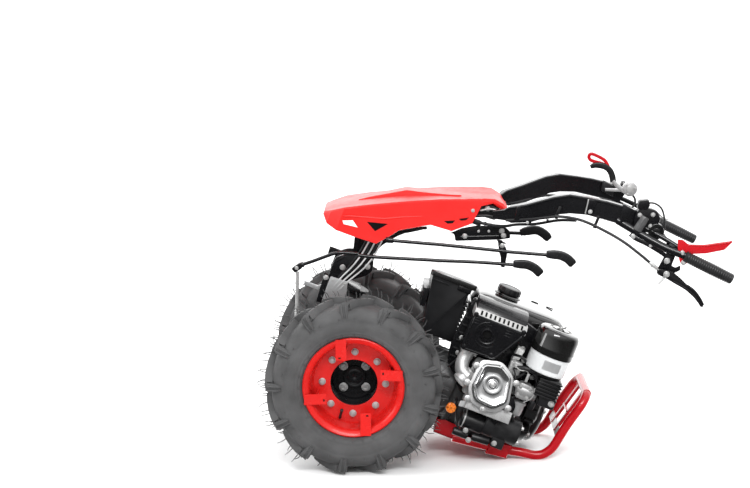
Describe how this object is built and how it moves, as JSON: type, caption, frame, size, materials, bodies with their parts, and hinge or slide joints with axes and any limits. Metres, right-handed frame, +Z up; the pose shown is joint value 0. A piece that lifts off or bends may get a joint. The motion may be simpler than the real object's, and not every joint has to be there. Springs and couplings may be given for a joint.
{
  "type": "walking tractor",
  "caption": "Two-wheel walking tractor with a single-cylinder engine, lugged tyres, a reversible height-adjustable handlebar and a tube bumper.",
  "frame": {"origin": "on the floor under the middle of the overall length and width", "axes": "+X from the axle toward the engine, bumper and grips, +Y to the right of someone at the grips who looks at the wheels, +Z up. The machine stands nosed down on its bumper, so its own long axis slopes down toward +X"},
  "size_m": [1.2933, 0.6662, 0.8393],
  "materials": {
    "red_paint": "semi-gloss red enamel",
    "console_red": "moulded orange-red plastic",
    "bumper_red": "gloss deep red powder coat",
    "black_paint": "satin black paint",
    "black_plastic": "fine-grained black plastic",
    "gloss_black": "gloss black",
    "rubber": "mid-grey tyre rubber",
    "grip_rubber": "ribbed black rubber",
    "cast_aluminium": "bare casting",
    "bright_metal": "bright plated metal",
    "grey_plastic": "pale grey plastic",
    "cast_iron": "black painted casting"
  },
  "bodies": {
    "chassis": {"air_cleaner_bowl": "grey_plastic", "air_cleaner_cap": "gloss_black", "air_cleaner_foot": "black_plastic", "axle_tube_left": "cast_iron", "axle_tube_right": "cast_iron", "battery_box": "black_paint", "battery_lid": "black_plastic", "bumper": "bumper_red", "carburettor": "cast_aluminium", "clutch_housing": "cast_aluminium", "crankcase": "cast_aluminium", "cylinder_head": "cast_aluminium", "exhaust_elbow": "cast_aluminium", "fan_shroud": "black_plastic", "fuel_cap": "black_plastic", "fuel_tank": "gloss_black", "gearbox": "cast_iron", "muffler": "black_paint", "pto_flange": "cast_aluminium", "pto_link": "bright_metal", "pto_rod_rear": "black_paint", "recoil_starter": "black_plastic", "skid_plate": "bumper_red", "starter_motor": "black_paint", "turret_post": "cast_iron", "valve_cover": "bright_metal"},
    "swivel": {"swivel_bracket": "black_paint"},
    "handlebar": {"arm_left": "black_plastic", "arm_right": "black_plastic", "arm_tube_left": "black_paint", "arm_tube_right": "black_paint", "clutch_cable": "black_plastic", "clutch_lever": "black_paint", "column_beam": "black_paint", "console_cover": "console_red", "control_cluster": "black_plastic", "gear_rod": "black_paint", "gear_rod_handle": "black_plastic", "grip_left": "grip_rubber", "grip_right": "grip_rubber", "height_lever": "black_plastic", "lever_plate": "black_paint", "pto_rod": "black_paint", "pto_rod_handle": "black_plastic", "rod_guide": "black_paint", "stop_lever": "red_paint", "throttle_lever": "black_plastic"},
    "wheel_left": {"hub_left": "black_paint", "rim_left": "red_paint", "tyre_left": "rubber"},
    "wheel_right": {"hub_right": "black_paint", "rim_right": "red_paint", "tyre_right": "rubber"}
  },
  "joints": [
    {"name": "wheel_left_spin", "type": "hinge", "parent": "chassis", "child": "wheel_left", "pos_m": [-0.3967, -0.2347, 0.25], "axis": [0, 1, 0], "continuous": true},
    {"name": "wheel_right_spin", "type": "hinge", "parent": "chassis", "child": "wheel_right", "pos_m": [-0.3967, 0.2347, 0.25], "axis": [0, 1, 0], "continuous": true},
    {"name": "handlebar_swivel", "type": "hinge", "parent": "chassis", "child": "swivel", "pos_m": [-0.4111, 0, 0.46604], "axis": [0.3637, 0, 0.9315], "range_deg": [0, 180]},
    {"name": "handlebar_height", "type": "hinge", "parent": "swivel", "child": "handlebar", "pos_m": [-0.36439, 0, 0.54442], "axis": [0, -1, 0], "range_deg": [-5, 10]}
  ]
}
